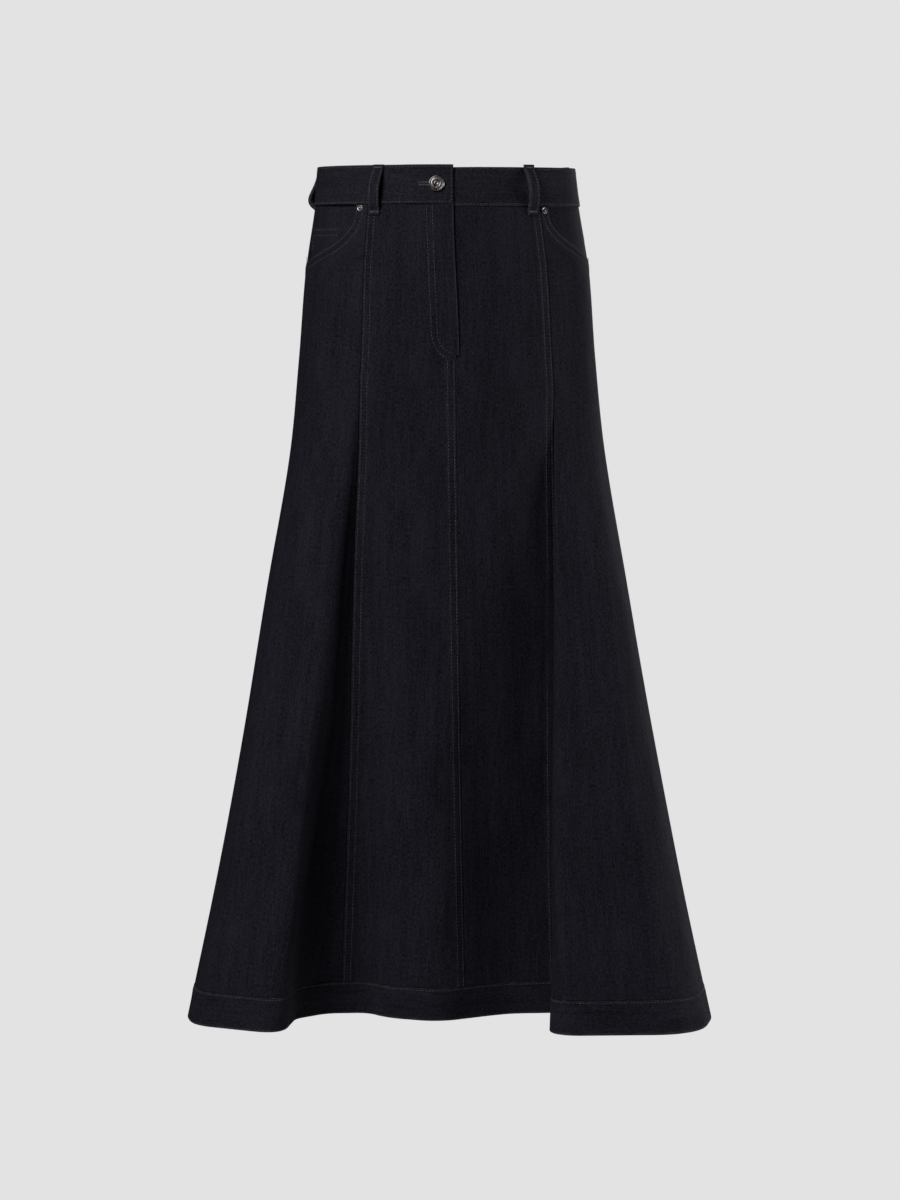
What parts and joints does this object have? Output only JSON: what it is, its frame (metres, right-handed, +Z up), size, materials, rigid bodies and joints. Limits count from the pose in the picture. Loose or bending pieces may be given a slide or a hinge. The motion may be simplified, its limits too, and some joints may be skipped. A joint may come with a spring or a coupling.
{
  "type": "denim skirt",
  "caption": "Long denim skirt as worn, close at the hip and flaring to a fluted hem, with a buttoned waistband, fly, scooped pockets, belt loops and a deep hem band.",
  "frame": {"origin": "middle of the waist, half way up the waistband, where the wearer holds the skirt", "axes": "+Z up, -Y the front, +X the wearer's left, which is on the right in a front view"},
  "size_m": [0.5329, 0.3588, 0.8689],
  "materials": {
    "denim": "washed black cotton twill",
    "metal": "dark gunmetal",
    "zip_tape": "woven black tape"
  },
  "bodies": {
    "root": {"waistband_right": "denim", "waistband_left": "denim", "front_right": "denim", "front_left": "denim", "side_front_right": "denim", "side_front_left": "denim", "side_back_right": "denim", "side_back_left": "denim", "back_right": "denim", "back_left": "denim", "hem_band_front": "denim", "hem_band_back": "denim", "pocket_facing_right": "denim", "pocket_facing_left": "denim", "coin_pocket": "denim", "fly_shield": "denim", "belt_loop_front_right": "denim", "belt_loop_front_left": "denim", "belt_loop_side_right": "denim", "belt_loop_side_left": "denim", "belt_loop_back": "denim", "fly_zip": "zip_tape", "button": "metal", "rivet_right": "metal", "rivet_left": "metal"}
  },
  "joints": []
}
